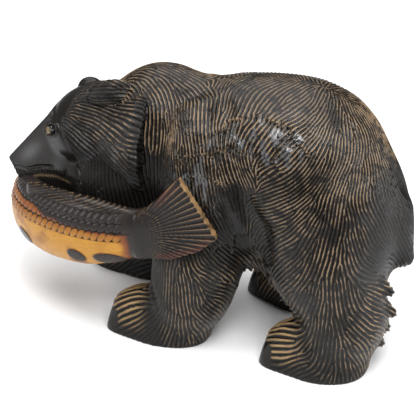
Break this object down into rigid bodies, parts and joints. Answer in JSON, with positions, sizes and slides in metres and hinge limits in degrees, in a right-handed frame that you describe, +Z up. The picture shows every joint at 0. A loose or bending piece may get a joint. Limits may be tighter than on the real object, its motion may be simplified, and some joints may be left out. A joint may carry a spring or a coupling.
{
  "type": "carved wooden bear with a salmon",
  "caption": "Wood carving of a bear pacing on its own four paws with a salmon held in its jaws, cut from one block, with gouged fur.",
  "frame": {"origin": "on the floor, under the middle of the carving's box", "axes": "+Z up, the bear faces -X, its left side is -Y"},
  "size_m": [0.4284, 0.1986, 0.2697],
  "materials": {
    "stained_wood": "dark stain, rubbed back on the ridges, satin polish"
  },
  "bodies": {
    "root": {"bear_with_salmon": "stained_wood"}
  },
  "joints": []
}
